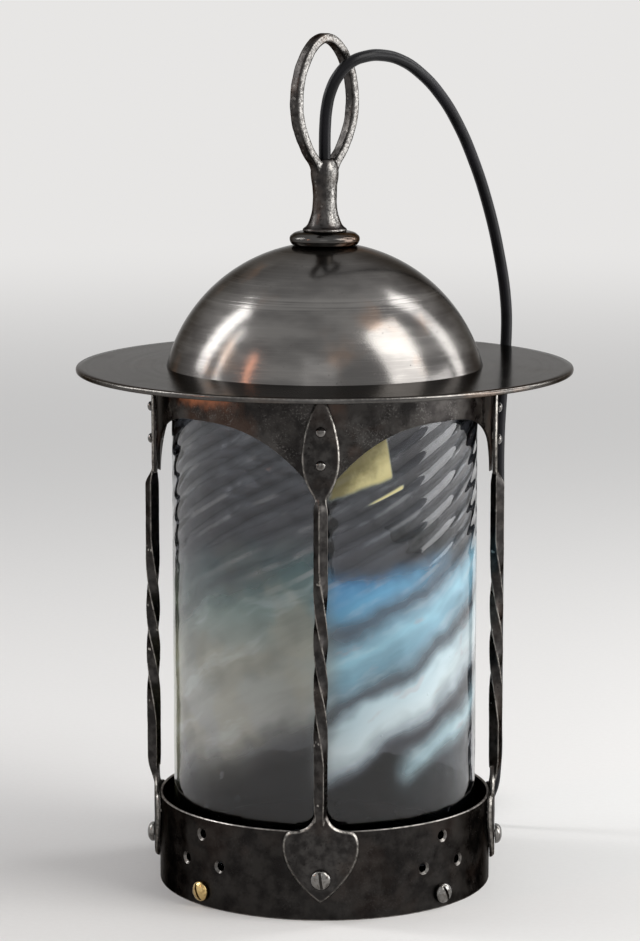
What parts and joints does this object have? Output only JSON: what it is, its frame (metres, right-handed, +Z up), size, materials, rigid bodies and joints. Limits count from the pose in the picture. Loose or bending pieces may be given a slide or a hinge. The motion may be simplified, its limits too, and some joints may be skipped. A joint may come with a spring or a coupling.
{
  "type": "hall lantern",
  "caption": "Hanging hall lantern: spun dome on a wide round brim, riveted twisted straps, banded art-glass cylinder, forged hanging loop and a black flex.",
  "frame": {"origin": "on the lantern's axis, in the plane of the lower band's bottom edge", "axes": "+Z up along the lantern's axis, -Y towards the front strap, +X to the right"},
  "size_m": [0.2514, 0.3181, 0.4322],
  "materials": {
    "patinated_sheet": "dark patinated sheet bronze, spun and rubbed, with warm patches",
    "forged_metal": "forged and blackened bar, pitted, with rubbed edges",
    "bright_fastener": "worn bright metal",
    "brass_fastener": "dull brass",
    "art_glass": "clear ribbed glass above, milky and sky-blue streaks below",
    "holder_brass": "aged brass",
    "holder_ceramic": "unglazed white",
    "flex_sheath": "smooth black",
    "plug_plastic": "fine matt black"
  },
  "bodies": {
    "frame": {"hanging_loop": "forged_metal", "loop_collar": "forged_metal", "dome": "patinated_sheet", "brim": "patinated_sheet", "brim_spacer": "patinated_sheet", "upper_band": "patinated_sheet", "lower_band": "patinated_sheet", "gallery_ring": "patinated_sheet", "strap_front": "forged_metal", "rivet_front_upper": "bright_fastener", "rivet_front_lower": "bright_fastener", "strap_screw_front": "bright_fastener", "strap_nut_front": "bright_fastener", "strap_right": "forged_metal", "rivet_right_upper": "bright_fastener", "rivet_right_lower": "bright_fastener", "strap_screw_right": "bright_fastener", "strap_nut_right": "bright_fastener", "strap_back": "forged_metal", "rivet_back_upper": "bright_fastener", "rivet_back_lower": "bright_fastener", "strap_screw_back": "bright_fastener", "strap_nut_back": "bright_fastener", "strap_left": "forged_metal", "rivet_left_upper": "bright_fastener", "rivet_left_lower": "bright_fastener", "strap_screw_left": "bright_fastener", "strap_nut_left": "bright_fastener", "threaded_tube": "brass_fastener", "crown_washer": "brass_fastener", "crown_nut": "brass_fastener", "holder_screw_shell": "brass_fastener", "holder_contact": "brass_fastener", "holder_cap": "holder_brass", "holder_body": "holder_brass", "holder_shade_ring": "holder_brass", "holder_insert": "holder_ceramic", "lead_in_stem": "flex_sheath", "flex": "flex_sheath", "flex_coil": "flex_sheath", "coil_tie": "plug_plastic", "plug_boot": "plug_plastic", "plug_body": "plug_plastic", "plug_pin_near": "bright_fastener", "plug_pin_far": "bright_fastener"},
    "glass": {"glass_cylinder": "art_glass"},
    "glass_screw_front_right": {"glass_screw_front_right": "bright_fastener"},
    "glass_screw_back_right": {"glass_screw_back_right": "bright_fastener"},
    "glass_screw_back_left": {"glass_screw_back_left": "bright_fastener"},
    "glass_screw_front_left": {"glass_screw_front_left": "brass_fastener"}
  },
  "joints": [
    {"name": "glass_lift", "type": "slide", "parent": "frame", "child": "glass", "axis": [0, 0, 1], "range_m": [0, 0.0045]},
    {"name": "glass_screw_front_right_out", "type": "slide", "parent": "frame", "child": "glass_screw_front_right", "axis": [0.7071, -0.7071, 0], "range_m": [0, 0.005]},
    {"name": "glass_screw_back_right_out", "type": "slide", "parent": "frame", "child": "glass_screw_back_right", "axis": [0.7071, 0.7071, 0], "range_m": [0, 0.005]},
    {"name": "glass_screw_back_left_out", "type": "slide", "parent": "frame", "child": "glass_screw_back_left", "axis": [-0.7071, 0.7071, 0], "range_m": [0, 0.005]},
    {"name": "glass_screw_front_left_out", "type": "slide", "parent": "frame", "child": "glass_screw_front_left", "axis": [-0.7071, -0.7071, 0], "range_m": [0, 0.005]}
  ]
}
